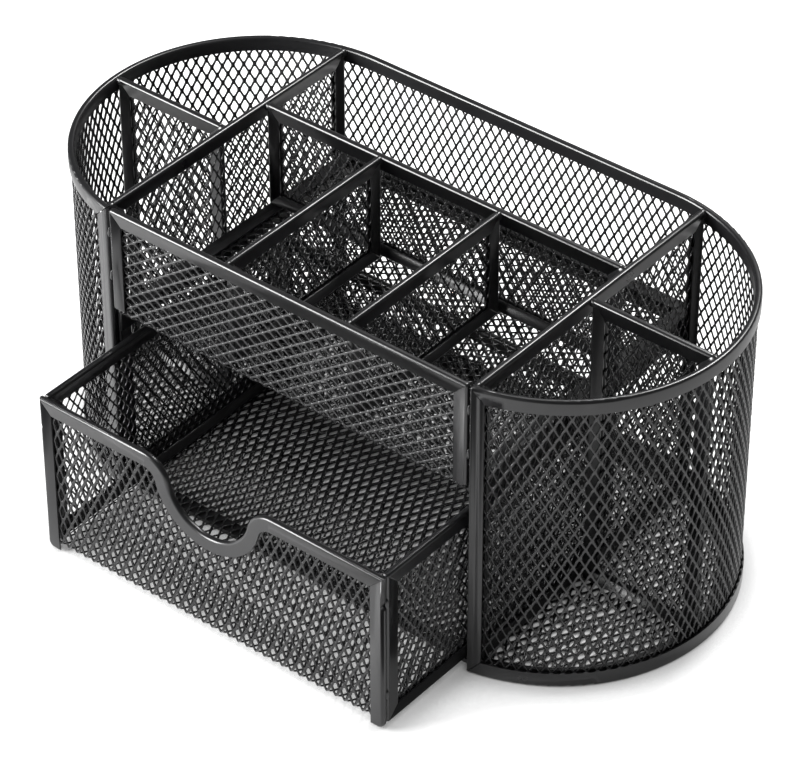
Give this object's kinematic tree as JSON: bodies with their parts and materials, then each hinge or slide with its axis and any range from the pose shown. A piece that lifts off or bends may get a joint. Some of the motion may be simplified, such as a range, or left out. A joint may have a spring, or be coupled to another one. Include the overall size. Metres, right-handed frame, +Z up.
{
  "type": "pen stand with drawer",
  "caption": "Desk pen stand of expanded steel mesh in folded strip: round ends, long back compartment, front trays and a sliding drawer with a finger notch.",
  "frame": {"origin": "on the desk, midway between the centres of the two round ends", "axes": "+X along the stand's length to its right end, +Y from the drawer to the straight back, +Z up"},
  "size_m": [0.22, 0.1429, 0.101],
  "materials": {
    "mesh": "black powder coat on expanded steel mesh, satin",
    "strip": "black powder coat on folded steel strip, satin",
    "weld": "black powder coat over spot welds"
  },
  "bodies": {
    "stand": {"base_mesh": "mesh", "base_strip": "strip", "front_panel_and_shelf_mesh": "mesh", "front_panel_strip": "strip", "left_cross_wall_frame": "strip", "left_cross_wall_mesh": "mesh", "left_end_divider_frame": "strip", "left_end_divider_mesh": "mesh", "left_tray_divider_frame": "strip", "left_tray_divider_mesh": "mesh", "left_wall_end_strip": "strip", "mid_wall_frame": "strip", "mid_wall_mesh": "mesh", "right_cross_wall_frame": "strip", "right_cross_wall_mesh": "mesh", "right_end_divider_frame": "strip", "right_end_divider_mesh": "mesh", "right_tray_divider_frame": "strip", "right_tray_divider_mesh": "mesh", "right_wall_end_strip": "strip", "round_wall_bottom_strip": "strip", "round_wall_mesh": "mesh", "round_wall_top_strip": "strip", "shelf_strip": "strip", "stand_welds": "weld"},
    "drawer": {"drawer_back_strip": "strip", "drawer_front_strip": "strip", "drawer_left_side_frame": "strip", "drawer_left_side_mesh": "mesh", "drawer_mesh": "mesh", "drawer_right_side_frame": "strip", "drawer_right_side_mesh": "mesh", "drawer_welds": "weld"}
  },
  "joints": [
    {"name": "drawer_slide", "type": "slide", "parent": "stand", "child": "drawer", "axis": [0, -1, 0], "range_m": [-0.0338, 0.0467]}
  ]
}
